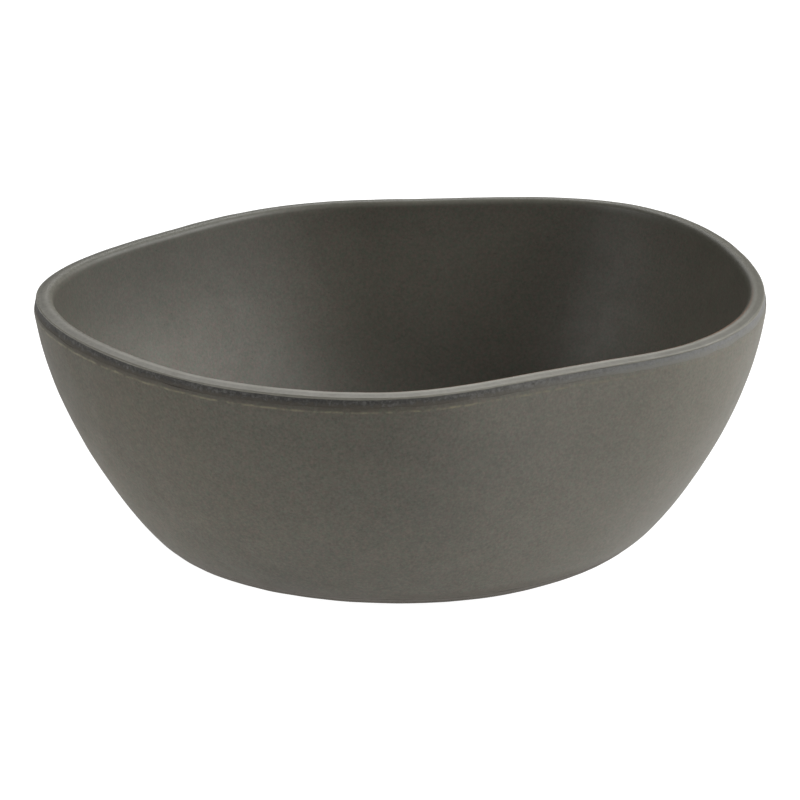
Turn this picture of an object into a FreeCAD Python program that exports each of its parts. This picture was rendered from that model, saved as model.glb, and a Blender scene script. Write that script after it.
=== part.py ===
"""Free-form stoneware bowl: one fired clay body with two glaze coats.

The bowl stands on a bare foot ring and has a pebble-shaped outline, so it is neither round nor a
plain oval.  Every level of it is a closed outline sketch, and the walls are lofts through those
outlines.  +Z is up, the table is Z = 0, and the origin is the middle of the bowl's length and width.

Sub-parts:
    clay_body    foot ring, heel, wall, bare band under the lip, lip and floor, in one piece of clay
    inner_glaze  coat over the floor, the inside of the wall and the top of the lip
    outer_glaze  coat from just above the foot to the lower edge of the bare band
"""
import FreeCAD, Part
import math
import os

import Sketcher

SPOKES = 20  # control points round every outline, evenly spaced
# A cubic outline runs inside its control points; this is how far out they stand for a true radius.
SPOKE_GAIN = (math.pi / SPOKES / math.sin(math.pi / SPOKES)) ** 4

SIZES = {
    # overall form, in millimetres
    "bowl_height": 70.0,  # to the corner of the mouth, which the rounding of the lip then lowers a little
    "rim_radius": 93.6,  # mean radius of the widest outline, where the bare band meets the wall
    "foot_radius": 63.5,  # mean radius where the wall leaves the foot ring
    # waves that make the rim outline free-form: depth in millimetres, turn in degrees from +X
    "oval_depth": 8.6,
    "oval_turn": 24.0,
    "egg_depth": 1.2,
    "egg_turn": 43.0,
    "square_depth": 1.5,
    "square_turn": -19.5,
    "pentagon_depth": 3.5,
    "pentagon_turn": -27.0,
    "hexagon_depth": 1.2,
    "hexagon_turn": -8.5,
    "heptagon_depth": 0.9,
    "heptagon_turn": 13.5,
    "octagon_depth": 0.8,
    "octagon_turn": 6.5,
    # the foot is a quieter version of the same outline
    "foot_oval_depth": 6.0,
    "foot_oval_turn": 19.0,
    "foot_egg_depth": 2.2,
    "foot_egg_turn": 46.0,
    # outer profile: how strongly the wall leans at its two ends, as shares of its width and height
    "heel_pull": 0.08,
    "shoulder_pull": 0.11,
    "shoulder_drop": 0.507,
    # inner profile, from the edge of the flat floor up to the mouth
    "floor_thickness": 5.9,
    "floor_inset": 11.5,  # the edge of the flat floor stands this far inside the foot outline
    "floor_sweep": 0.7,
    "mouth_pull": 0.05,
    "mouth_drop": 0.25,
    # lip and bare band
    "lip_width": 4.3,
    "lip_drop": 0.9,  # the top of the lip falls this much towards the outside
    "lip_round": 1.2,
    "band_height": 2.55,
    "band_slope": 0.45,  # the band leans in this much from its lower edge to the lip
    "band_step": 0.25,  # the outer coat stands this proud of the band
    # foot ring
    "foot_height": 1.2,
    "foot_draft": 0.8,
    "foot_ring_width": 7.0,
    "recess_depth": 1.6,
    "recess_draft": 0.6,
    # fired glaze
    "glaze_thickness": 0.4,
}

RIM_WAVES = {"oval": 2, "egg": 3, "square": 4, "pentagon": 5, "hexagon": 6, "heptagon": 7, "octagon": 8}
FOOT_WAVES = {"foot_oval": 2, "foot_egg": 3}

# Levels of the lofted walls, as the parameter of their profile curve
HEEL_LEVELS = (0.0, 0.05, 0.1)
WALL_LEVELS = (0.1, 0.2, 0.35, 0.5, 0.65, 0.82, 1.0)
INSIDE_LEVELS = (1.0, 0.85, 0.68, 0.5, 0.35, 0.2, 0.1, 0.0)


class Ring:
    """One level outline: a height and, for each spoke, a radius, both as sheet expressions."""

    def __init__(self, radius, height):
        self.radius = radius
        self.height = height

    def moved(self, outwards="0", up="0"):
        """Return the ring moved outwards and up."""
        return Ring(f"{self.radius} + ({outwards})", f"{self.height} + ({up})")


def make_sheet(doc):
    """Put every size in the spreadsheet, under its own alias."""
    sheet = doc.addObject("Spreadsheet::Sheet", "Sizes")
    for row, (name, value) in enumerate(SIZES.items(), start=1):
        sheet.set(f"A{row}", name.replace("_", " "))
        sheet.set(f"B{row}", str(value))
        sheet.setAlias(f"B{row}", name)
    doc.recompute()
    return sheet


def spoke_angle(spoke):
    """Return a spoke's direction in degrees from +X."""
    return 360.0 * spoke / SPOKES


def waved(radius, waves, spoke):
    """Return the expression of a mean radius with its waves, at one spoke."""
    terms = [f"Sizes.{radius}"]
    for name, count in waves.items():
        turn = f"{count} * ({spoke_angle(spoke):g} - Sizes.{name}_turn) * 1 deg"
        terms.append(f"Sizes.{name}_depth * cos({turn})")
    return " + ".join(terms)


def make_outlines(doc):
    """Bind the radius of the foot, rim and floor outlines at every spoke to the sheet."""
    outline = doc.addObject("App::VarSet", "Outline")

    def bind(name, expression):
        outline.addProperty("App::PropertyFloat", name)
        outline.setExpression(name, expression)

    for spoke in range(SPOKES):
        bind(f"foot_{spoke:02d}", waved("foot_radius", FOOT_WAVES, spoke))
        bind(f"rim_{spoke:02d}", waved("rim_radius", RIM_WAVES, spoke))
        bind(f"floor_{spoke:02d}", f"foot_{spoke:02d} * (1 - Sizes.floor_inset / Sizes.foot_radius)")
    bind("floor_top", "Sizes.recess_depth + Sizes.floor_thickness")
    bind("shoulder", "Sizes.bowl_height - Sizes.lip_drop - Sizes.band_height")
    bind("lip_edge", "Sizes.bowl_height - Sizes.lip_drop")
    bind("lip_inset", "Sizes.band_step + Sizes.band_slope")
    bind("mouth_inset", "lip_inset + Sizes.lip_width")
    doc.recompute()
    return outline


def profile_share(level, start, end):
    """Return the expression of a cubic profile curve's share of the way at a level.

    The curve leaves 0 with the pull start and arrives at 1 with the pull end.
    """
    rest = 1.0 - level
    first = 3.0 * rest * rest * level
    second = 3.0 * rest * level * level
    return f"({first:.6f} * ({start}) + {second:.6f} * (1 - ({end})) + {level ** 3:.6f})"


def wall_ring(level):
    """Return the outline of the finished outer wall at a level, 0 at the foot and 1 at the band."""
    reach = profile_share(level, "Sizes.heel_pull", "Sizes.shoulder_pull")
    rise = profile_share(level, "0", "Sizes.shoulder_drop")
    return Ring(
        f"Outline.foot_# + (Outline.rim_# - Outline.foot_#) * {reach}",
        f"Sizes.foot_height + (Outline.shoulder - Sizes.foot_height) * {rise}",
    )


def inside_ring(level):
    """Return the outline of the glazed inside at a level, 0 at the floor and 1 at the mouth."""
    reach = profile_share(level, "Sizes.floor_sweep", "Sizes.mouth_pull")
    rise = profile_share(level, "0", "Sizes.mouth_drop")
    return Ring(
        f"Outline.floor_# + (Outline.rim_# - Outline.mouth_inset - Outline.floor_#) * {reach}",
        f"Outline.floor_top + (Sizes.bowl_height - Outline.floor_top) * {rise}",
    )


def bare_inside_ring(level):
    """Return the clay's own surface behind the inner coat at a level."""
    return inside_ring(level).moved(outwards="Sizes.glaze_thickness", up="-Sizes.glaze_thickness")


def bare_wall_ring(level):
    """Return the clay's own surface behind the outer coat at a level."""
    return wall_ring(level).moved(outwards="-Sizes.glaze_thickness")


def origin_plane(body):
    """Return the body's own XY plane."""
    return next(item for item in body.Origin.OriginFeatures if item.Role == "XY_Plane")


def add_hoop(body, name, ring):
    """Draw one closed outline at its level, its control points bound to the sheet."""
    sketch = body.newObject("Sketcher::SketchObject", name)
    sketch.AttachmentSupport = [(origin_plane(body), "")]
    sketch.MapMode = "FlatFace"
    sketch.setExpression("AttachmentOffset.Base.z", ring.height)
    directions = [math.radians(spoke_angle(spoke)) for spoke in range(SPOKES)]
    reach = SIZES["foot_radius"] * SPOKE_GAIN
    points = [FreeCAD.Vector(reach * math.cos(turn), reach * math.sin(turn), 0) for turn in directions]
    curve = Part.BSplineCurve()
    curve.buildFromPolesMultsKnots(points, [1] * (SPOKES + 1), [float(k) for k in range(SPOKES + 1)], True, 3)
    sketch.exposeInternalGeometry(sketch.addGeometry(curve, False))
    handles = [index for index, item in enumerate(sketch.Geometry) if isinstance(item, Part.Circle)]
    first = len(sketch.Constraints)
    pins = []
    for spoke, handle in enumerate(handles):
        pins.append(Sketcher.Constraint("DistanceX", -1, 1, handle, 3, points[spoke].x))
        pins.append(Sketcher.Constraint("DistanceY", -1, 1, handle, 3, points[spoke].y))
    sketch.addConstraint(pins)
    for spoke in range(SPOKES):
        radius = ring.radius.replace("#", f"{spoke:02d}")
        for offset, (letter, swing) in enumerate((("x", "cos"), ("y", "sin"))):
            label = f"{letter}_{spoke:02d}"
            sketch.renameConstraint(first + 2 * spoke + offset, label)
            place = f"{SPOKE_GAIN:.6f} * ({radius}) * {swing}({spoke_angle(spoke):g} deg)"
            sketch.setExpression(f"Constraints.{label}", place)
    return sketch


def add_loft(body, name, rings, cut=False, ruled=False):
    """Loft through a list of rings, adding clay or glaze, or cutting it away."""
    hoops = [add_hoop(body, f"{name}_{index}", ring) for index, ring in enumerate(rings)]
    kind = "PartDesign::SubtractiveLoft" if cut else "PartDesign::AdditiveLoft"
    loft = body.newObject(kind, name)
    loft.Profile = hoops[0]
    loft.Sections = hoops[1:]
    loft.Ruled = ruled
    body.Document.recompute()
    return loft


def add_round(body, name, radius, choose):
    """Round the edges of the body so far that choose() picks."""
    body.Document.recompute()
    base = body.Tip
    picked = [f"Edge{number}" for number, edge in enumerate(base.Shape.Edges, start=1) if choose(edge)]
    fillet = body.newObject("PartDesign::Fillet", name)
    fillet.Base = (base, picked)
    fillet.setExpression("Radius", radius)
    body.Document.recompute()
    return fillet


def level_edge(height):
    """Return a test for closed edges that lie level at a height."""

    def choose(edge):
        box = edge.BoundBox
        return abs(box.ZMin - height) < 1e-4 and abs(box.ZMax - height) < 1e-4 and edge.isClosed()

    return choose


def make_body(doc, label):
    """Start a named sub-part."""
    body = doc.addObject("PartDesign::Body", label)
    body.Label = label
    return body


def lip_rings():
    """Return the outer edge of the bare clay lip, that edge at the coat's top, and the mouth."""
    bare = Ring("Outline.rim_# - Outline.lip_inset", "Outline.lip_edge - Sizes.glaze_thickness")
    coated = Ring(bare.radius, "Outline.lip_edge")
    return bare, coated, inside_ring(1.0)


def make_clay_body(doc):
    """Foot ring, heel, wall, band and lip, hollowed by the inside and the foot recess."""
    body = make_body(doc, "clay_body")
    foot = Ring("Outline.foot_# - Sizes.foot_draft", "0")
    add_loft(body, "foot", [foot, wall_ring(0.0)], ruled=True)
    add_loft(body, "heel", [wall_ring(level) for level in HEEL_LEVELS])
    add_loft(body, "wall", [bare_wall_ring(level) for level in WALL_LEVELS])
    bare_lip, _, _ = lip_rings()
    band_foot = wall_ring(1.0).moved(outwards="-Sizes.band_step")
    add_loft(body, "band", [band_foot, bare_lip], ruled=True)
    add_loft(body, "lip", [bare_lip, bare_inside_ring(1.0)], ruled=True)
    add_loft(body, "inside", [bare_inside_ring(level) for level in INSIDE_LEVELS], cut=True)
    recess = Ring("Outline.foot_# - Sizes.foot_ring_width", "0")
    recess_top = recess.moved(outwards="-Sizes.recess_draft", up="Sizes.recess_depth")
    add_loft(body, "recess", [recess, recess_top], cut=True, ruled=True)
    return body


def make_inner_glaze(doc):
    """Coat over the floor, the inside of the wall and the top of the lip."""
    body = make_body(doc, "inner_glaze")
    bare_lip, coated_lip, mouth = lip_rings()
    add_loft(body, "cap", [bare_lip, coated_lip, mouth], ruled=True)
    add_loft(body, "under_cap", [bare_lip, bare_inside_ring(1.0)], cut=True, ruled=True)
    add_loft(body, "lining", [bare_inside_ring(level) for level in INSIDE_LEVELS])
    add_loft(body, "hollow", [inside_ring(level) for level in INSIDE_LEVELS], cut=True)
    add_round(body, "lip_rounding", "Sizes.lip_round", level_edge(SIZES["bowl_height"]))
    return body


def make_outer_glaze(doc):
    """Coat round the outside, from just above the foot to the bare band."""
    body = make_body(doc, "outer_glaze")
    add_loft(body, "coat", [wall_ring(level) for level in WALL_LEVELS])
    add_loft(body, "clay_space", [bare_wall_ring(level) for level in WALL_LEVELS], cut=True)
    return body


def centre_on_origin(bodies):
    """Move all sub-parts together so that the bowl's length and width are centred on the origin."""
    box = FreeCAD.BoundBox()
    for body in bodies:
        box.add(body.Shape.optimalBoundingBox())
    for body in bodies:
        body.Placement.Base = FreeCAD.Vector(-box.Center.x, -box.Center.y, 0)


def check_model(doc, bodies):
    """Stop if anything in the document failed, or a sub-part isn't one sound solid."""
    failed = [item.Name for item in doc.Objects if {"Invalid", "Error"} & set(item.State)]
    if failed:
        raise RuntimeError(f"failed objects: {failed}")
    for body in bodies:
        if body.Shape.isNull() or not body.Shape.isValid():
            raise RuntimeError(f"{body.Label} has no valid shape")
        if len(body.Shape.Solids) != 1:
            raise RuntimeError(f"{body.Label} has {len(body.Shape.Solids)} solids")


def main():
    """Build the bowl and write one STEP file for each sub-part."""
    doc = FreeCAD.newDocument("stoneware_bowl")
    make_sheet(doc)
    make_outlines(doc)
    bodies = [make_clay_body(doc), make_inner_glaze(doc), make_outer_glaze(doc)]
    doc.recompute()
    centre_on_origin(bodies)
    doc.recompute()
    check_model(doc, bodies)
    os.makedirs("parts", exist_ok=True)
    for body in bodies:
        body.Shape.exportStep(f"parts/{body.Label}.step")
        box = body.Shape.optimalBoundingBox()
        print(
            f"{body.Label}: {box.XLength:.2f} x {box.YLength:.2f} x {box.ZLength:.2f} mm,"
            f" {body.Shape.Volume / 1000.0:.2f} cm3"
        )


main()
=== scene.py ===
"""The looks of a free-form stoneware bowl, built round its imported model.

One fired clay body carries two matt glaze coats: one over the inside and the top of the lip, and one
round the outside that stops just short of the lip, so that a dark band of bare clay shows between
them.  Lengths are in metres, +Z is up and the bowl stands on Z = 0.
"""
import logging
import math
from dataclasses import dataclass, field
from enum import Enum
from typing import Any

import bmesh
import bpy
from mathutils import Matrix, Vector, noise


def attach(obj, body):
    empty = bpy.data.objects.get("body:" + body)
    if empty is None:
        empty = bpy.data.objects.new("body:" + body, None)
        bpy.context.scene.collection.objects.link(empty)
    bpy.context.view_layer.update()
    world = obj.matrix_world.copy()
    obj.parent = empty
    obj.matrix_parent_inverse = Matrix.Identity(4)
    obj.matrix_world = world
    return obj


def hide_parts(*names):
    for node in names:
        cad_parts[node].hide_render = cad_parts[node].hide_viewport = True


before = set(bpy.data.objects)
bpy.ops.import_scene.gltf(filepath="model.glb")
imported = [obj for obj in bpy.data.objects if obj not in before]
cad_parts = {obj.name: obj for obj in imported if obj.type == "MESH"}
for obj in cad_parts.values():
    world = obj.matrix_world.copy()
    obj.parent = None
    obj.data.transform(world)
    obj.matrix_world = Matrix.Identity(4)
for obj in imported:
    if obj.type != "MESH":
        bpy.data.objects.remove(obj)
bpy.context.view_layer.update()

MM = 0.001

log = logging.getLogger("bowl")


# ---------------------------------------------------------------- shader graph


class Value:
    """A number that changes over a surface; arithmetic on it adds Math nodes."""

    def __init__(self, graph: "Graph", socket: bpy.types.NodeSocket) -> None:
        """Wrap a socket.

        Args:
            graph: the graph that new nodes are added to.
            socket: the output that carries the number.
        """
        self.graph = graph
        self.socket = socket

    def _math(self, operation: str, *operands: Any, clamp: bool = False) -> "Value":
        """Add one Math node.

        Args:
            operation: the node's operation.
            operands: its inputs in order, numbers or values.
            clamp: whether the result is held between 0 and 1.

        Returns:
            The node's result.
        """
        settings = {"operation": operation, "use_clamp": clamp}
        return self.graph.node("ShaderNodeMath", settings, dict(enumerate(operands)))

    def __add__(self, other: Any) -> "Value":
        """Return self + other."""
        return self._math("ADD", self, other)

    def __radd__(self, other: Any) -> "Value":
        """Return other + self."""
        return self._math("ADD", other, self)

    def __sub__(self, other: Any) -> "Value":
        """Return self - other."""
        return self._math("SUBTRACT", self, other)

    def __rsub__(self, other: Any) -> "Value":
        """Return other - self."""
        return self._math("SUBTRACT", other, self)

    def __mul__(self, other: Any) -> "Value":
        """Return self * other."""
        return self._math("MULTIPLY", self, other)

    def __rmul__(self, other: Any) -> "Value":
        """Return other * self."""
        return self._math("MULTIPLY", other, self)

    def __abs__(self) -> "Value":
        """Return the size of self without its sign."""
        return self._math("ABSOLUTE", self)

    def clamped(self) -> "Value":
        """Return self held between 0 and 1."""
        return self._math("ADD", self, 0.0, clamp=True)

    def rising(self, low: float, high: float) -> "Value":
        """Return a smooth step of self.

        Args:
            low: where the step starts, at 0.
            high: where it ends, at 1.

        Returns:
            The step, between 0 and 1.
        """
        settings = {"interpolation_type": "SMOOTHSTEP"}
        inputs = {"Value": self, "From Min": low, "From Max": high}
        return self.graph.node("ShaderNodeMapRange", settings, inputs)

    def falling(self, low: float, high: float) -> "Value":
        """Return a smooth step down from 1 at low to 0 at high."""
        return 1.0 - self.rising(low, high)

    def near(self, middle: float, reach: float) -> "Value":
        """Return 1 where self is at middle, fading smoothly to 0 at reach from it."""
        return abs(self - middle).falling(0.0, reach)


class Graph:
    """The node graph of one material."""

    def __init__(self, name: str) -> None:
        """Start an empty material.

        Args:
            name: the material's name.
        """
        self.material = bpy.data.materials.new(name)
        self.material.use_nodes = True
        self.tree = self.material.node_tree
        self.tree.nodes.clear()
        self.place = self.node("ShaderNodeTexCoord", output="Object")

    def node(self, kind: str, settings: dict[str, Any] | None = None,
             inputs: dict[Any, Any] | None = None, output: Any = 0) -> Value:
        """Add any node.

        Args:
            kind: the node's type.
            settings: its own settings, which are made first.
            inputs: the values or links of its sockets, by name or number.
            output: the name or number of the output that is wanted.

        Returns:
            That output.
        """
        made = self.tree.nodes.new(kind)
        for name, setting in (settings or {}).items():
            setattr(made, name, setting)
        for name, given in (inputs or {}).items():
            if isinstance(given, Value):
                self.tree.links.new(given.socket, made.inputs[name])
            else:
                made.inputs[name].default_value = given
        return Value(self, made.outputs[output])

    def attribute(self, name: str) -> Value:
        """Return a number that is stored on the mesh."""
        return self.node("ShaderNodeAttribute", {"attribute_name": name}, output="Fac")

    def stretched(self, x: float, y: float, z: float) -> Value:
        """Return object coordinates scaled on each axis."""
        return self.node("ShaderNodeMapping", None, {"Vector": self.place, "Scale": (x, y, z)})

    def point(self, x: Any, y: Any, z: Any) -> Value:
        """Return a vector made of three numbers."""
        return self.node("ShaderNodeCombineXYZ", None, {"X": x, "Y": y, "Z": z})

    def axis(self, letter: str) -> Value:
        """Return one object coordinate."""
        return self.node("ShaderNodeSeparateXYZ", None, {"Vector": self.place}, output=letter)

    def cloud(self, size: float, detail: float = 2.0, rough: float = 0.5, where: Value | None = None,
              shift: float = 0.0) -> Value:
        """Return smooth noise.

        Args:
            size: the width of its largest patches.
            detail: how many finer layers are added.
            rough: how strong the finer layers are.
            where: the coordinates, or object coordinates if not given.
            shift: the slice of the noise, so that two clouds of a size differ.

        Returns:
            The noise, centred on 0 and mostly between -0.3 and 0.3.
        """
        inputs = {"Vector": where or self.place, "W": shift, "Scale": 1.0 / size, "Detail": detail,
                  "Roughness": rough}
        return self.node("ShaderNodeTexNoise", {"noise_dimensions": "4D"}, inputs) - 0.5

    def blend(self, share: Any, first: Any, second: Any, mode: str = "MIX") -> Value:
        """Mix two colours.

        Args:
            share: how much of the second colour there is, a number or a value.
            first: the first colour.
            second: the second colour.
            mode: the way of mixing.

        Returns:
            The mixed colour.
        """
        mixed = self.node("ShaderNodeMix", {"data_type": "RGBA", "blend_type": mode}, output=2)
        sockets = mixed.socket.node.inputs
        for socket, given in ((sockets[0], share), (sockets[6], first), (sockets[7], second)):
            if isinstance(given, Value):
                self.tree.links.new(given.socket, socket)
            else:
                socket.default_value = given
        return mixed

    def finish(self, colour: Any, roughness: Any, relief: Value | None = None, depth: float = 0.0,
               strength: float = 1.0, gloss: float = 0.5, glow: float = 0.0) -> bpy.types.Material:
        """Join everything to one surface shader.

        Args:
            colour: the base colour.
            roughness: the roughness.
            relief: a height field for the fine relief.
            depth: how deep the relief is where its height is 1.
            strength: how strongly the relief turns the surface.
            gloss: the specular level.
            glow: how much white light the surface gives off.

        Returns:
            The finished material.
        """
        inputs = {"Base Color": colour, "Roughness": roughness, "Specular IOR Level": gloss,
                  "Emission Strength": glow}
        if relief is not None:
            bump = {"Strength": strength, "Distance": depth, "Height": relief}
            inputs["Normal"] = self.node("ShaderNodeBump", None, bump)
        surface = self.node("ShaderNodeBsdfPrincipled", None, inputs)
        self.node_output(surface)
        return self.material

    def node_output(self, surface: Value) -> None:
        """End the graph with a surface."""
        made = self.tree.nodes.new("ShaderNodeOutputMaterial")
        self.tree.links.new(surface.socket, made.inputs["Surface"])


def colour(red: float, green: float, blue: float) -> tuple[float, float, float, float]:
    """Return an opaque colour from its linear parts."""
    return (red, green, blue, 1.0)


def scaled(base: tuple[float, ...], factor: float) -> tuple[float, float, float, float]:
    """Return a colour made lighter or darker."""
    return colour(*(part * factor for part in base[:3]))


# -------------------------------------------------------------------- finishes


@dataclass(frozen=True)
class MattGlaze:
    """A matt, dry stoneware glaze with grain, clouds and pinholes."""

    name: str
    body: tuple[float, float, float, float]
    warm: tuple[float, float, float, float]
    clouds: float = 0.10
    mottle: float = 0.22
    grain: float = 1.5
    dullness: float = 0.62

    def tint(self, graph: Graph) -> Value:
        """Return the coat's own colour, before the changes along its edges."""
        wide = graph.cloud(45 * MM, 2.0)
        drift = graph.cloud(18 * MM, 3.0, where=graph.stretched(1.0, 1.0, 2.2), shift=3.0)
        patches = graph.cloud(4.5 * MM, 3.0, 0.6, shift=1.0)
        grain = graph.cloud(0.75 * MM, 2.0, 0.65, shift=2.0)
        share = 0.5 + wide * self.clouds * 6.0 + drift * self.clouds * 4.0
        share = (share + patches * self.mottle + grain * self.grain).clamped()
        pale = graph.blend(share, scaled(self.body, 0.74), scaled(self.body, 1.26))
        hue = (0.5 + graph.cloud(60 * MM, 2.0, shift=6.0) * 2.0 + patches * 1.2).clamped()
        toned = graph.blend(hue * 0.5, pale, self.warm, "MULTIPLY")
        flecks = (0.5 + graph.cloud(0.65 * MM, 1.0, 0.7, shift=14.0) * 2.6).clamped()
        flecked = graph.blend(flecks, colour(0.87, 1.03, 0.95), colour(1.16, 0.97, 1.00))
        toned = graph.blend(1.0, toned, flecked, "MULTIPLY")
        dark = graph.cloud(0.8 * MM, 0.0, shift=4.0).rising(0.24, 0.33)
        light = graph.cloud(0.7 * MM, 0.0, shift=5.0).rising(0.28, 0.34)
        spotted = graph.blend(dark * 0.30, toned, scaled(self.body, 0.35))
        return graph.blend(light * 0.20, spotted, scaled(self.body, 1.9))

    def relief(self, graph: Graph) -> Value:
        """Return the height of the dry, slightly sandy surface."""
        sand = graph.cloud(0.55 * MM, 2.0, 0.6, shift=7.0)
        dimples = graph.cloud(2.4 * MM, 2.0, shift=8.0)
        pits = graph.cloud(0.8 * MM, 0.0, shift=4.0).rising(0.24, 0.33)
        return sand * 0.6 + dimples * 0.8 - pits * 0.5

    def roughness(self, graph: Graph) -> Value:
        """Return how dull the surface is from place to place."""
        return self.dullness + graph.cloud(6 * MM, 3.0, shift=9.0) * 0.18


@dataclass(frozen=True)
class InnerGlaze(MattGlaze):
    """The inner coat, rubbed pale along the lip, with a painted highlight along the front of the lip and
    painted light and shade on the left wall.
    """

    lip: tuple[float, float, float, float] = colour(0.127, 0.122, 0.100)
    # Pale colour of the painted highlight along the lip's inner edge and of its rubbed outer edge.
    edge: tuple[float, float, float, float] = colour(0.215, 0.206, 0.176)
    rust: tuple[float, float, float, float] = colour(0.170, 0.072, 0.026)
    back_lip: tuple[float, float, float, float] = colour(0.078, 0.078, 0.060)
    right_lip: tuple[float, float, float, float] = colour(0.060, 0.058, 0.043)
    # Painted shade and painted light for the left inner wall.
    shaded: tuple[float, float, float, float] = colour(0.78, 0.79, 0.79)
    left_wall_light: tuple[float, float, float, float] = colour(1.42, 1.45, 1.50)

    def material(self, inner_edge: float, outer_edge: float) -> bpy.types.Material:
        """Make the material.

        Args:
            inner_edge: how far along the coat the inner edge of the lip is.
            outer_edge: how far along the coat the outer edge of the lip is.

        Returns:
            The material.
        """
        graph = Graph(self.name)
        along = graph.attribute("along")
        wander = graph.cloud(7 * MM, 3.0, shift=11.0) * (0.5 * MM)
        across = along + wander
        streaks = graph.cloud(1.0, 3.0, 0.6, graph.point(
            graph.axis("X") * 28.0, graph.axis("Y") * 28.0, along * 1500.0), shift=12.0)
        smears = graph.cloud(9 * MM, 3.0, 0.6, shift=13.0)
        crumbs = graph.cloud(1.2 * MM, 2.0, 0.6, shift=18.0)
        front = graph.axis("Y").falling(-70 * MM, 5 * MM)
        right = graph.axis("X").rising(35 * MM, 95 * MM)
        left = graph.axis("X").falling(-80 * MM, 10 * MM)
        deep = graph.axis("Z").falling(28 * MM, 63 * MM)
        surface = self.tint(graph)
        # Painted light and shade: the left inner wall is made lighter low down and darker near the top,
        # following how the light falls there.
        left_wall_light_and_shade = graph.blend(deep, self.shaded, self.left_wall_light)
        surface = graph.blend(left, surface, graph.blend(1.0, surface, left_wall_light_and_shade, "MULTIPLY"))
        top = (across + right * (1.3 * MM)).rising(inner_edge - 2.4 * MM, inner_edge + 0.7 * MM)
        lip_wear_and_light = graph.blend((0.5 + streaks * 2.0 + smears * 0.9 + crumbs * 2.8).clamped(),
                           scaled(self.lip, 0.76), scaled(self.lip, 1.24))
        # Painted highlight: the lip is made lighter at the front, standing in for the backdrop's
        # reflection on its rounded inner edge.
        lip_wear_and_light = graph.blend(front * 0.42, lip_wear_and_light, scaled(self.lip, 1.40))
        # The lip is made darker on the right and at the back.
        lip_wear_and_light = graph.blend(right * 0.7, lip_wear_and_light, self.right_lip)
        behind = graph.axis("Y").rising(-10 * MM, 40 * MM)
        lip_wear_and_light = graph.blend(behind * (1.0 - right) * 0.6, lip_wear_and_light, self.back_lip)
        surface = graph.blend(top * 0.85, surface, lip_wear_and_light)
        # Painted highlight: a pale line along the inner edge of the lip, strongest at the front; the line
        # at the outer edge is the coat's rubbed arris.
        rim = along.near(inner_edge + 1.80 * MM, 0.80 * MM) * (0.12 + front * 0.78)
        arris = across.near(outer_edge - 0.1 * MM, 0.5 * MM) * 0.45
        surface = graph.blend(((rim + arris) * (0.9 + smears * 1.8)).clamped(), surface, self.edge)
        nearer = graph.axis("Y").falling(-50 * MM, 15 * MM) * graph.axis("X").rising(-45 * MM, 5 * MM)
        fringe = along.near(inner_edge + 0.80 * MM, 0.62 * MM) * nearer
        surface = graph.blend((fringe * (0.9 + smears * 1.5)).clamped(), surface, self.rust)
        rough = self.roughness(graph) - top * 0.10
        return graph.finish(surface, rough, self.relief(graph), 0.05 * MM, 0.55, gloss=0.45)


@dataclass(frozen=True)
class OuterGlaze(MattGlaze):
    """The outer coat, which ends in a narrow broken pale edge below the bare band, with painted light and
    shade on its wall.
    """

    edge: tuple[float, float, float, float] = colour(0.128, 0.115, 0.074)
    stain: tuple[float, float, float, float] = colour(0.050, 0.043, 0.033)
    heel: tuple[float, float, float, float] = colour(0.056, 0.045, 0.032)
    left_warmth: tuple[float, float, float, float] = colour(1.01, 0.96, 0.86)
    # Painted shade and painted light that the wall's colour is multiplied by.
    wall_shade: tuple[float, float, float, float] = colour(0.79, 0.79, 0.77)
    wall_light: tuple[float, float, float, float] = colour(1.46, 1.46, 1.50)

    def material(self, band_foot: float, foot_edge: float) -> bpy.types.Material:
        """Make the material.

        Args:
            band_foot: the height of the coat's upper edge.
            foot_edge: the height of the coat's lower edge.

        Returns:
            The material.
        """
        graph = Graph(self.name)
        height = graph.axis("Z")
        wander = graph.cloud(5 * MM, 3.0, 0.6, shift=15.0)
        depth = band_foot - height + wander * (0.9 * MM)
        broken = graph.cloud(2.2 * MM, 2.0, 0.6, shift=16.0)
        surface = self.tint(graph)
        drift = graph.cloud(30 * MM, 2.0, shift=17.0) * (30 * MM)
        # Painted light and shade: the wall is made lighter in a belt above the foot, more so on the left,
        # and on the right, standing in for the floor's bounce light and the key light; elsewhere it is
        # darker.
        low = (height + drift).falling(12 * MM, 62 * MM)
        low = low - (height + drift * 0.3).falling(4 * MM, 24 * MM) * 0.6
        side = (graph.axis("X") + drift).rising(-20 * MM, 70 * MM)
        left = (graph.axis("X") + drift).falling(-85 * MM, -25 * MM)
        wall_light_share = (low * (0.20 + left * 0.20) + side * 0.78).clamped()
        surface = graph.blend(side * 0.40, surface, self.body)
        # A warmer tint on the left side of the wall.
        surface = graph.blend(left * 0.8, surface, graph.blend(1.0, surface, self.left_warmth, "MULTIPLY"))
        surface = graph.blend(1.0, surface, graph.blend(wall_light_share, self.wall_shade, self.wall_light), "MULTIPLY")
        # Painted light: the dark stain and the pale line below the band fade towards the right, where the
        # key light and its sheen fall.
        lit_side = graph.axis("X").rising(5 * MM, 70 * MM)
        soot = depth.falling(0.2 * MM, 1.5 * MM) * (0.44 + broken * 2.2) * (1.0 - lit_side * 0.9)
        surface = graph.blend(soot.clamped(), surface, self.stain)
        line = depth.near(1.25 * MM, 0.5 * MM) * (0.50 + broken * 4.2) * (1.0 - lit_side * 0.6)
        surface = graph.blend(line.clamped(), surface, self.edge)
        foot = (height - foot_edge + wander * (2.0 * MM)).falling(0.3 * MM, 3.2 * MM)
        surface = graph.blend(foot * 0.55, surface, self.heel)
        return graph.finish(surface, self.roughness(graph), self.relief(graph), 0.05 * MM, 0.55, gloss=0.4)


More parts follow.
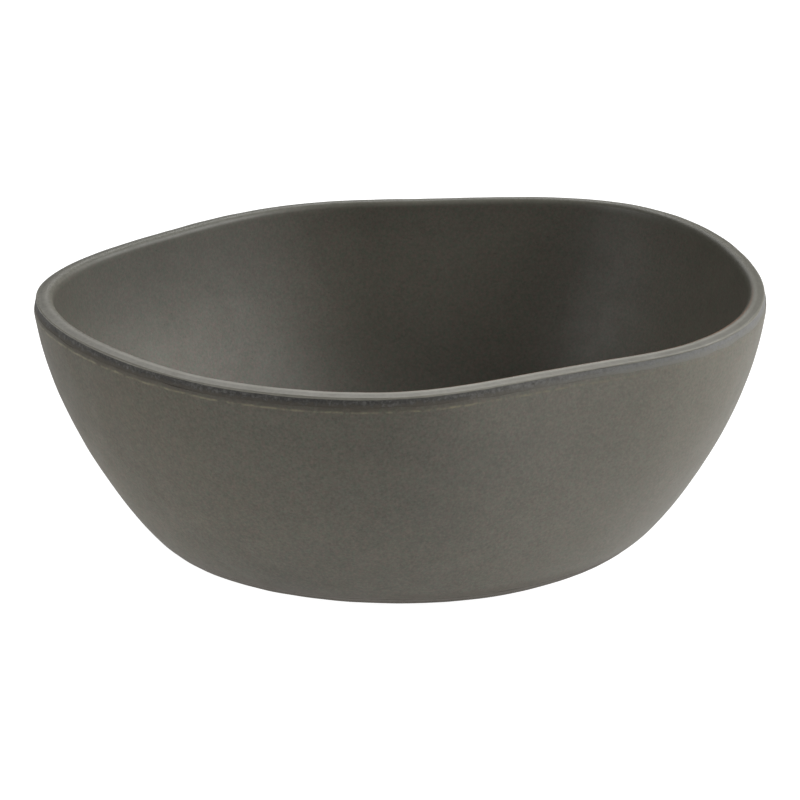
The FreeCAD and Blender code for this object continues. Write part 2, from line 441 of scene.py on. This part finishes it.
@dataclass(frozen=True)
class BareClay:
    """Fired stoneware clay: dark and smoked in the band, which is painted paler towards the right, and
    browner and sandier at the foot.
    """

    name: str = "bare_clay"
    smoked: tuple[float, float, float, float] = colour(0.030, 0.029, 0.027)
    ash: tuple[float, float, float, float] = colour(0.080, 0.077, 0.070)
    tan: tuple[float, float, float, float] = colour(0.058, 0.051, 0.040)
    pale: tuple[float, float, float, float] = colour(0.142, 0.142, 0.138)
    beige: tuple[float, float, float, float] = colour(0.128, 0.124, 0.108)
    foot: tuple[float, float, float, float] = colour(0.090, 0.081, 0.068)
    chalk: tuple[float, float, float, float] = colour(0.105, 0.101, 0.090)
    grog: tuple[float, float, float, float] = colour(0.032, 0.027, 0.023)

    def material(self, band_foot: float, lip_edge: float) -> bpy.types.Material:
        """Make the material.

        Args:
            band_foot: the height of the band's lower edge.
            lip_edge: the height of the band's upper edge.

        Returns:
            The material.
        """
        graph = Graph(self.name)
        height = graph.axis("Z")
        blots = graph.cloud(3.2 * MM, 3.0, 0.65, shift=20.0)
        wiped = graph.cloud(1.6 * MM, 3.0, 0.6, graph.stretched(0.35, 0.35, 2.0), shift=21.0)
        grain = graph.cloud(0.7 * MM, 2.0, 0.65, shift=22.0)
        sweep = graph.cloud(40 * MM, 2.0, shift=23.0)
        crumbs = graph.cloud(0.95 * MM, 2.0, 0.6, shift=25.0)
        side = graph.axis("X")
        # Painted light: the band is made paler towards the right, where the key light and its sheen fall,
        # and near its far left end.
        lit_ends = side.rising(-5 * MM, 70 * MM) * 0.62 + side.falling(-96 * MM, -78 * MM) * 0.25
        mottled = crumbs * 1.6 + wiped * 1.1 + grain * 1.6 + blots * 0.3 + sweep * 0.5
        band = graph.blend((0.30 + lit_ends + mottled).clamped(), self.smoked, self.ash)
        # Painted light: further paling of the band towards the right.
        lit_right = side.rising(12 * MM, 82 * MM) * 0.72 + mottled * 0.35
        band = graph.blend(lit_right.clamped(), band, self.pale)
        lift = height - band_foot + crumbs * (2.6 * MM) + blots * (1.2 * MM)
        low = lift.falling(0.2 * MM, 1.3 * MM)
        # Painted light: the brown lower edge of the band turns beige towards the right.
        toward = graph.blend(side.rising(10 * MM, 70 * MM), self.tan, self.beige)
        band = graph.blend(low * 0.80, band, toward)
        chalk = (lip_edge - height + crumbs * (1.6 * MM) + blots * (0.8 * MM)).falling(0.1 * MM, 0.9 * MM)
        band = graph.blend(chalk * 0.50, band, self.chalk)
        sand = (0.5 + grain * 1.4 + blots * 0.9 + sweep * 0.8).clamped()
        raw = graph.blend(sand, scaled(self.foot, 0.72), scaled(self.foot, 1.28))
        grog = graph.cloud(1.0 * MM, 0.0, shift=24.0).rising(0.24, 0.29)
        raw = graph.blend(grog * 0.6, raw, self.grog)
        surface = graph.blend(height.rising(20 * MM, 30 * MM), raw, band)
        relief = grain * 0.9 + blots * 0.6 + wiped * 0.4
        rough = 0.80 + grain * 0.15
        return graph.finish(surface, rough, relief, 0.09 * MM, 0.7, gloss=0.3)


@dataclass(frozen=True)
class StudioPaper:
    """The pale paper that the bowl stands on."""

    name: str = "studio_paper"
    paper: tuple[float, float, float, float] = colour(0.28, 0.28, 0.28)
    glow: float = 0.96

    def material(self) -> bpy.types.Material:
        """Return the material, with a very faint paper tone."""
        graph = Graph(self.name)
        tone = (0.5 + graph.cloud(300 * MM, 2.0)).clamped()
        sheet = graph.blend(tone, scaled(self.paper, 0.99), self.paper)
        return graph.finish(sheet, 0.9, gloss=0.1, glow=self.glow)


# ----------------------------------------------------------------- bowl's form


@dataclass(frozen=True)
class Wave:
    """One wave round an outline: how many crests, how deep, and which way the first one points."""

    count: int
    depth: float
    turn: float

    def at(self, angle: float) -> float:
        """Return the wave's height in a direction, in radians from +X."""
        return self.depth * math.cos(self.count * (angle - math.radians(self.turn)))


@dataclass(frozen=True)
class Outline:
    """A closed free-form outline: a mean radius with waves round it."""

    radius: float
    waves: tuple[Wave, ...] = ()
    spokes: int = 20
    steps: int = 16

    def traced(self) -> list[Vector]:
        """Draw the outline as one smooth closed curve.

        Returns:
            Its points in order, steps of them for each spoke.
        """
        gain = (math.pi / self.spokes / math.sin(math.pi / self.spokes)) ** 4
        curve = bpy.data.curves.new("outline", "CURVE")
        curve.dimensions = "3D"
        spline = curve.splines.new("NURBS")
        spline.points.add(self.spokes - 1)
        for spoke, point in enumerate(spline.points):
            angle = 2 * math.pi * spoke / self.spokes
            reach = gain * (self.radius + sum(wave.at(angle) for wave in self.waves))
            point.co = (reach * math.cos(angle), reach * math.sin(angle), 0.0, 1.0)
        spline.use_cyclic_u = True
        spline.order_u = 4
        spline.resolution_u = self.steps
        drawn = bpy.data.objects.new("outline", curve)
        mesh = bpy.data.meshes.new_from_object(drawn)
        points = [vertex.co.copy() for vertex in mesh.vertices]
        bpy.data.objects.remove(drawn)
        bpy.data.meshes.remove(mesh)
        return points


@dataclass(frozen=True)
class Ring:
    """One level of a surface: shares of the foot and rim outlines, a step outwards and a height."""

    foot: float
    rim: float
    out: float
    height: float
    wander: float = 0.0

    def moved(self, out: float = 0.0, up: float = 0.0) -> "Ring":
        """Return the ring moved outwards and up."""
        return Ring(self.foot, self.rim, self.out + out, self.height + up, self.wander)


def share(level: float, start: float, end: float) -> float:
    """Return how far a cubic profile has come.

    Args:
        level: the place on the profile, from 0 to 1.
        start: the pull with which it leaves 0.
        end: the pull with which it arrives at 1.

    Returns:
        The share of the way.
    """
    rest = 1.0 - level
    return 3 * rest * rest * level * start + 3 * rest * level * level * (1 - end) + level ** 3


def rounded(before: tuple[float, float], corner: tuple[float, float], after: tuple[float, float],
            radius: float, steps: int) -> list[tuple[float, float]]:
    """Round a corner of a profile.

    Args:
        before: a point on the way to the corner.
        corner: the corner.
        after: a point on the way on from it.
        radius: the radius of the rounding.
        steps: how many pieces the arc has.

    Returns:
        The points of the arc, with both its ends.
    """
    middle = Vector(corner)
    back = (Vector(before) - middle).normalized()
    on = (Vector(after) - middle).normalized()
    half = back.angle(on) / 2
    centre = middle + (back + on).normalized() * (radius / math.sin(half))
    first = middle + back * (radius / math.tan(half)) - centre
    last = middle + on * (radius / math.tan(half)) - centre
    sweep = first.angle_signed(last)
    arc = []
    for step in range(steps + 1):
        turned = Matrix.Rotation(-sweep * step / steps, 2) @ first
        arc.append(tuple(centre + turned))
    return arc


@dataclass(frozen=True)
class BowlForm:
    """The outlines and the two profiles that the clay and both coats share."""

    height: float = 70 * MM
    rim: Outline = Outline(93.6 * MM, (
        Wave(2, 8.6 * MM, 24.0), Wave(3, 1.2 * MM, 43.0), Wave(4, 1.5 * MM, -19.5),
        Wave(5, 3.5 * MM, -27.0), Wave(6, 1.2 * MM, -8.5), Wave(7, 0.9 * MM, 13.5),
        Wave(8, 0.8 * MM, 6.5)))
    foot: Outline = Outline(63.5 * MM, (Wave(2, 6.0 * MM, 19.0), Wave(3, 2.2 * MM, 46.0)))
    heel_pull: float = 0.08
    shoulder_pull: float = 0.11
    shoulder_drop: float = 0.507
    floor_top: float = 7.5 * MM
    floor_inset: float = 11.5 * MM
    floor_sweep: float = 0.7
    mouth_pull: float = 0.05
    mouth_drop: float = 0.25
    mouth_lean: float = 0.117
    lip_run: float = 10 * MM
    lip_width: float = 4.3 * MM
    lip_drop: float = 0.9 * MM
    lip_round: float = 1.8 * MM
    arris_round: float = 0.32 * MM
    band_height: float = 2.55 * MM
    band_slope: float = 0.45 * MM
    band_step: float = 0.25 * MM
    foot_height: float = 1.2 * MM
    foot_draft: float = 0.8 * MM
    foot_ring_width: float = 7.0 * MM
    recess_depth: float = 1.6 * MM
    recess_draft: float = 0.6 * MM
    glaze: float = 0.4 * MM
    coat_foot: float = 0.1

    @property
    def lip_edge(self) -> float:
        """Height of the outer edge of the lip."""
        return self.height - self.lip_drop

    @property
    def shoulder(self) -> float:
        """Height of the lower edge of the bare band."""
        return self.lip_edge - self.band_height

    @property
    def mouth_inset(self) -> float:
        """How far the mouth stands inside the widest outline."""
        return self.band_step + self.band_slope + self.lip_width

    def wall(self, level: float) -> Ring:
        """Return the outer wall's ring at a level, 0 at the foot and 1 at the band."""
        reach = share(level, self.heel_pull, self.shoulder_pull)
        rise = share(level, 0.0, self.shoulder_drop)
        height = self.foot_height + (self.shoulder - self.foot_height) * rise
        return Ring(1 - reach, reach, 0.0, height)

    def inside(self, level: float) -> Ring:
        """Return the inside's ring at a level, 0 at the edge of the floor and 1 at the mouth."""
        reach = share(level, self.floor_sweep, self.mouth_pull)
        rise = share(level, 0.0, self.mouth_drop)
        floor = 1 - self.floor_inset / self.foot.radius
        height = self.floor_top + (self.height - self.floor_top) * rise
        return Ring(floor * (1 - reach), reach, -self.mouth_inset * reach, height)

    def lip(self) -> list[tuple[float, float]]:
        """Return the lip's corners beside the rim outline: inside wall, mouth, outer edge, band foot."""
        mouth = (-self.mouth_inset, self.height)
        below = (-self.mouth_inset - self.mouth_lean * self.lip_run, self.height - self.lip_run)
        edge = (-self.band_step - self.band_slope, self.lip_edge)
        return [below, mouth, edge, (-self.band_step, self.shoulder)]

    def radius(self, ring: Ring) -> float:
        """Return a ring's mean radius."""
        return self.foot.radius * ring.foot + self.rim.radius * ring.rim + ring.out


def levels(start: float, end: float, count: int) -> list[float]:
    """Return evenly spaced levels, with both ends."""
    return [start + (end - start) * step / (count - 1) for step in range(count)]


class End(Enum):
    """How a skin's first or last ring is closed."""

    POLE = "pole"
    JOINED = "joined"


@dataclass
class Skin:
    """A closed surface that is drawn ring by ring round the bowl."""

    name: str
    form: BowlForm
    rings: list[Ring]
    start: End = End.POLE
    wander: float = 0.35 * MM
    undulation: float = 0.26 * MM
    handwork: float = 0.14 * MM

    def along(self) -> list[float]:
        """Return each ring's distance from the first, measured along the profile."""
        places = [(self.form.radius(ring), ring.height) for ring in self.rings]
        distances = [0.0]
        for here, there in zip(places, places[1:]):
            distances.append(distances[-1] + math.dist(here, there))
        return distances

    def build(self) -> bpy.types.Object:
        """Draw the skin, smooth it and give it its handmade unevenness.

        Returns:
            The finished mesh object, at the origin.
        """
        foot, rim = self.form.foot.traced(), self.form.rim.traced()
        circle = Outline(1.0).traced()
        centre = (Vector(map(max, zip(*rim))) + Vector(map(min, zip(*rim)))) / 2
        distances = self.along()

        def place(index: int, spoke: int) -> Vector:
            """Return where a ring's point stands."""
            ring = self.rings[index]
            spot = foot[spoke] * ring.foot + rim[spoke] * ring.rim + circle[spoke] * ring.out
            swell = noise.noise(spot * 130.0) + 0.6 * noise.noise(spot * 420.0 + Vector((7.0, 0.0, 0.0)))
            up = ring.height + ring.wander * self.wander * swell
            return spot - centre + Vector((0.0, 0.0, up))

        bpy.ops.object.select_all(action="DESELECT")
        bpy.ops.mesh.primitive_circle_add(vertices=len(rim), radius=self.form.foot.radius)
        piece = bpy.context.object
        piece.name = piece.data.name = self.name
        bpy.ops.object.mode_set(mode="EDIT")
        mesh = bmesh.from_edit_mesh(piece.data)
        spokes = mesh.verts.layers.int.new("spoke")
        mesh.verts.layers.int.new("ring")
        mesh.verts.layers.float.new("along")
        for vertex in mesh.verts:
            vertex[spokes] = vertex.index
        for index in range(len(self.rings)):
            if index:
                bpy.ops.mesh.extrude_edges_move()
            mesh = bmesh.from_edit_mesh(piece.data)
            spokes = mesh.verts.layers.int["spoke"]
            marks = mesh.verts.layers.int["ring"]
            along = mesh.verts.layers.float["along"]
            for vertex in mesh.verts:
                if vertex.select:
                    vertex.co = place(index, vertex[spokes])
                    vertex[marks] = index
                    vertex[along] = distances[index]
            bmesh.update_edit_mesh(piece.data)
        last = len(self.rings) - 1
        if self.start is End.JOINED:
            self.pick(piece, {0, last})
            bpy.ops.mesh.bridge_edge_loops()
        else:
            for index in (0, last):
                self.pick(piece, {index})
                bpy.ops.mesh.merge(type="CENTER")
        bpy.ops.mesh.select_all(action="SELECT")
        bpy.ops.mesh.normals_make_consistent(inside=False)
        bpy.ops.object.mode_set(mode="OBJECT")
        self.smooth(piece)
        return piece

    def pick(self, piece: bpy.types.Object, wanted: set[int]) -> None:
        """Select the points and edges of some rings and nothing else.

        Args:
            piece: the object, in edit mode.
            wanted: the rings to select.
        """
        bpy.ops.mesh.select_mode(type="VERT")
        bpy.ops.mesh.select_all(action="DESELECT")
        mesh = bmesh.from_edit_mesh(piece.data)
        marks = mesh.verts.layers.int["ring"]
        for vertex in mesh.verts:
            vertex.select = vertex[marks] in wanted
        mesh.select_flush_mode()
        bmesh.update_edit_mesh(piece.data)

    def smooth(self, piece: bpy.types.Object) -> None:
        """Apply the subdivision and the slow and quick unevenness of a pressed, hand-finished pot."""
        finer = piece.modifiers.new("finer", "SUBSURF")
        finer.levels = finer.render_levels = 1
        finer.use_limit_surface = False
        bpy.ops.object.modifier_apply(modifier=finer.name)
        for size, depth in ((38 * MM, self.undulation), (9 * MM, self.handwork)):
            pattern = bpy.data.textures.new(f"{self.name}_relief", "CLOUDS")
            pattern.noise_scale = size
            pattern.noise_depth = 1
            relief = piece.modifiers.new("relief", "DISPLACE")
            relief.texture = pattern
            relief.texture_coords = "LOCAL"
            relief.strength = depth
            bpy.ops.object.modifier_apply(modifier=relief.name)
        bpy.ops.object.shade_smooth()


# --------------------------------------------------------------------- pieces


@dataclass
class ClayBody:
    """The fired clay: it shows in the band under the lip, at the foot and underneath."""

    form: BowlForm
    finish: BareClay = field(default_factory=BareClay)

    def rings(self) -> list[Ring]:
        """Return the rings from the floor's middle over the lip to the middle of the underside."""
        form = self.form
        deep = 3.2 * form.glaze
        bare = [form.inside(level).moved(deep, -deep) for level in levels(0.0, 0.96, 24)]
        floor = [Ring(bare[0].foot * part, 0.0, 0.0, bare[0].height) for part in (0.02, 0.35, 0.7, 0.95)]
        _, mouth, edge, band_foot = form.lip()
        top = form.glaze
        lip = [(mouth[0] + 1.6 * top, mouth[1] - 4 * top), (mouth[0] + 3 * top, mouth[1] - 2.4 * top)]
        under = (edge[0] - 0.3 * MM, edge[1] - top - 0.02 * MM)
        lip += rounded(lip[-1], under, (edge[0], edge[1] - top), 0.05 * MM, 1)
        drop = [(edge[0] + (band_foot[0] - edge[0]) * part, edge[1] - top
                 + (band_foot[1] - edge[1] + top) * part) for part in levels(0.0, 1.0, 7)]
        rim = [Ring(0.0, 1.0, out, height) for out, height in lip + drop]
        tuck = Ring(0.0, 1.0, band_foot[0] - 0.01 * MM, band_foot[1] - 0.5 * MM)
        wall = [form.wall(level).moved(-form.glaze - 0.03 * MM) for level in levels(0.965, 0.12, 20)]
        heel = [form.wall(level) for level in (0.092, 0.075, 0.05, 0.025, 0.0)]
        foot = Ring(1.0, 0.0, -form.foot_draft, 0.0)
        step = 0.25 * MM
        stand = [foot.moved(0.05 * MM, step * 1.6), foot.moved(-step, 0.0),
                 foot.moved(-step * 4, 0.0)]
        hollow = Ring(1.0, 0.0, -form.foot_ring_width, 0.0)
        top_edge = hollow.moved(-form.recess_draft, form.recess_depth)
        recess = [hollow.moved(step * 4), hollow.moved(step), hollow.moved(-step * 0.5, step),
                  top_edge.moved(step * 0.5, -step), top_edge.moved(-step, 0.0), top_edge.moved(-step * 8)]
        base = [Ring(part, 0.0, 0.0, form.recess_depth) for part in (0.6, 0.4, 0.2, 0.02)]
        return floor + bare + rim + [tuck] + wall + heel + stand + recess + base

    def build(self) -> bpy.types.Object:
        """Build the piece and dress it.

        Returns:
            The finished object.
        """
        piece = Skin("clay_body_shown", self.form, self.rings()).build()
        piece.data.materials.append(self.finish.material(self.form.shoulder, self.form.lip_edge))
        return piece


@dataclass
class InnerCoat:
    """The glaze over the floor, the inside of the wall and the lip."""

    form: BowlForm
    finish: InnerGlaze

    def rings(self) -> list[Ring]:
        """Return the rings from the floor's middle, over the lip and back behind the coat."""
        form = self.form
        edge_of_floor = form.inside(0.0)
        floor = [Ring(edge_of_floor.foot * part, 0.0, 0.0, edge_of_floor.height)
                 for part in (0.02, 0.06, 0.15, 0.3, 0.5, 0.7, 0.85, 0.96)]
        wall = [form.inside(level) for level in levels(0.0, 0.955, 32)]
        below, mouth, edge, band_foot = form.lip()
        bend = rounded(below, mouth, edge, form.lip_round, 7)
        arris = rounded(mouth, edge, band_foot, form.arris_round, 4)
        start, end = Vector(bend[-1]), Vector(arris[0])
        top = [tuple(start.lerp(end, part)) for part in (0.25, 0.5, 0.75)]
        hem = (edge[0] + 0.10 * MM, edge[1] - 1.3 * form.glaze)
        tuck = (edge[0] - 0.35 * MM, edge[1] - 1.3 * form.glaze)
        back = (mouth[0] + 3 * form.glaze, mouth[1] - 2.2 * form.glaze)
        turned = [Ring(0.0, 1.0, out, height) for out, height in bend + top + arris]
        turned += [Ring(0.0, 1.0, *hem, wander=0.35), Ring(0.0, 1.0, *tuck), Ring(0.0, 1.0, *back)]
        deep = 2 * form.glaze
        bare = [form.inside(level).moved(deep, -deep) for level in levels(0.95, 0.0, 11)]
        base = [Ring(bare[-1].foot * part, 0.0, 0.0, bare[-1].height) for part in (0.6, 0.02)]
        self.bend_start = len(floor) + len(wall)
        self.arris_start = self.bend_start + len(bend) + len(top)
        return floor + wall + turned + bare + base

    def build(self) -> bpy.types.Object:
        """Build the piece and dress it.

        Returns:
            The finished object.
        """
        skin = Skin("inner_glaze_shown", self.form, self.rings())
        distances = skin.along()
        inner_edge = distances[self.bend_start + 3]
        outer_edge = distances[self.arris_start + 2]
        piece = skin.build()
        piece.data.materials.append(self.finish.material(inner_edge, outer_edge))
        return piece


@dataclass
class OuterCoat:
    """The glaze round the outside, from just above the foot to the bare band."""

    form: BowlForm
    finish: OuterGlaze

    def rings(self) -> list[Ring]:
        """Return the rings from the coat's upper edge down the outside and back up behind it."""
        form = self.form
        bead = form.band_step
        top = form.wall(1.0)
        edge = [Ring(0.0, 1.0, -bead * 1.3, top.height - 0.05 * MM, 1.0),
                Ring(0.0, 1.0, -bead * 0.96, top.height + 0.02 * MM, 1.0),
                Ring(0.0, 1.0, -bead * 0.78, top.height - 0.22 * MM, 1.0),
                Ring(0.0, 1.0, -bead * 0.46, top.height - 0.70 * MM, 0.9),
                Ring(0.0, 1.0, -bead * 0.18, top.height - 1.25 * MM, 0.5)]
        wall = [form.wall(level) for level in levels(0.955, 0.105, 40)]
        foot = form.wall(form.coat_foot)
        hem = [foot.moved(-0.08 * MM, 0.02 * MM), foot.moved(-0.30 * MM, 0.0)]
        hem = [Ring(ring.foot, ring.rim, ring.out, ring.height, 1.0) for ring in hem]
        back = [form.wall(level).moved(-form.glaze) for level in levels(0.12, 0.97, 12)]
        return edge + wall + hem + back

    def build(self) -> bpy.types.Object:
        """Build the piece and dress it.

        Returns:
            The finished object.
        """
        piece = Skin("outer_glaze_shown", self.form, self.rings(), End.JOINED).build()
        foot_edge = self.form.wall(self.form.coat_foot).height
        piece.data.materials.append(self.finish.material(self.form.shoulder, foot_edge))
        return piece


# ---------------------------------------------------------------------- studio


@dataclass(frozen=True)
class Softbox:
    """One large soft light that points at the bowl."""

    name: str
    azimuth: float
    elevation: float
    distance: float
    width: float
    height: float
    power: float
    tint: tuple[float, float, float] = (1.0, 1.0, 1.0)

    def hang(self, aim: Vector) -> None:
        """Hang the light.

        Args:
            aim: the point that it faces.
        """
        light = bpy.data.lights.new(self.name, "AREA")
        light.shape = "RECTANGLE"
        light.size, light.size_y = self.width, self.height
        light.energy = self.power
        light.color = self.tint
        lamp = bpy.data.objects.new(self.name, light)
        bpy.context.scene.collection.objects.link(lamp)
        turn, lift = math.radians(self.azimuth), math.radians(self.elevation)
        away = Vector((math.cos(turn) * math.cos(lift), math.sin(turn) * math.cos(lift), math.sin(lift)))
        lamp.location = aim + away * self.distance
        lamp.rotation_euler = (-away).to_track_quat("-Z", "Y").to_euler()


@dataclass
class Studio:
    """Pale paper, soft light and the camera."""

    lights: tuple[Softbox, ...]
    aim: Vector
    camera_distance: float = 1.3
    camera_elevation: float = 19.3
    camera_lens: float = 212.3
    shift: tuple[float, float] = (-0.0126, 0.0075)
    paper: StudioPaper = field(default_factory=StudioPaper)
    paper_size: float = 12.0
    paper_drop: float = 0.2 * MM

    def lay_paper(self) -> None:
        """Lay the floor, just below the bowl's foot."""
        bpy.ops.object.select_all(action="DESELECT")
        bpy.ops.mesh.primitive_grid_add(x_subdivisions=8, y_subdivisions=8, size=self.paper_size,
                                        location=(0.0, 0.0, -self.paper_drop))
        floor = bpy.context.object
        floor.name = "studio_floor"
        floor.data.materials.append(self.paper.material())

    def light(self) -> None:
        """Hang the lights and set a white backdrop that itself gives no light."""
        for softbox in self.lights:
            softbox.hang(self.aim)
        world = bpy.data.worlds.new("studio_sky")
        world.use_nodes = True
        background = world.node_tree.nodes["Background"]
        background.inputs["Color"].default_value = colour(1.0, 1.0, 1.0)
        path = world.node_tree.nodes.new("ShaderNodeLightPath")
        world.node_tree.links.new(path.outputs["Is Camera Ray"], background.inputs["Strength"])
        bpy.context.scene.world = world
        bpy.context.scene.view_settings.view_transform = "Standard"

    def set_camera(self) -> None:
        """Place the camera."""
        lens = bpy.data.cameras.new("camera")
        lens.lens = self.camera_lens
        lens.shift_x, lens.shift_y = self.shift
        camera = bpy.data.objects.new("camera", lens)
        bpy.context.scene.collection.objects.link(camera)
        lift = math.radians(self.camera_elevation)
        away = Vector((0.0, -math.cos(lift), math.sin(lift)))
        camera.location = self.aim + away * self.camera_distance
        camera.rotation_euler = (-away).to_track_quat("-Z", "Y").to_euler()
        bpy.context.scene.camera = camera


def install(piece: bpy.types.Object, node: str) -> None:
    """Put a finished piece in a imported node's place.

    Args:
        piece: the finished piece.
        node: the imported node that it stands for.
    """
    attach(piece, "root")
    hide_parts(node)
    log.info("%s stands for %s: %d faces", piece.name, node, len(piece.data.polygons))


def main() -> None:
    """Build the bowl and its studio."""
    logging.basicConfig(level=logging.INFO, format="%(name)s: %(message)s")
    form = BowlForm()
    stone = colour(0.0755, 0.0712, 0.0575)
    inner = InnerGlaze("inner_glaze", body=scaled(stone, 1.10), warm=colour(0.97, 0.93, 0.90))
    outer = OuterGlaze("outer_glaze", body=stone, warm=colour(1.0, 0.97, 0.86), mottle=0.40, grain=2.4)
    install(ClayBody(form).build(), "clay_body")
    install(InnerCoat(form, inner).build(), "inner_glaze")
    install(OuterCoat(form, outer).build(), "outer_glaze")
    studio = Studio(
        lights=(
            Softbox("key", 0.0, 28.0, 1.8, 1.2, 1.0, 39.0),
            Softbox("high_key", 5.0, 46.0, 1.8, 1.0, 1.0, 8.0),
            Softbox("back", 90.0, 45.0, 2.2, 1.6, 1.0, 24.0),
            Softbox("fill", 209.0, 25.0, 2.2, 1.3, 1.0, 22.0),
        ),
        aim=Vector((2.45 * MM, 2.57 * MM, 35 * MM)),
    )
    studio.lay_paper()
    studio.light()
    studio.set_camera()


if __name__ == "__main__":
    main()
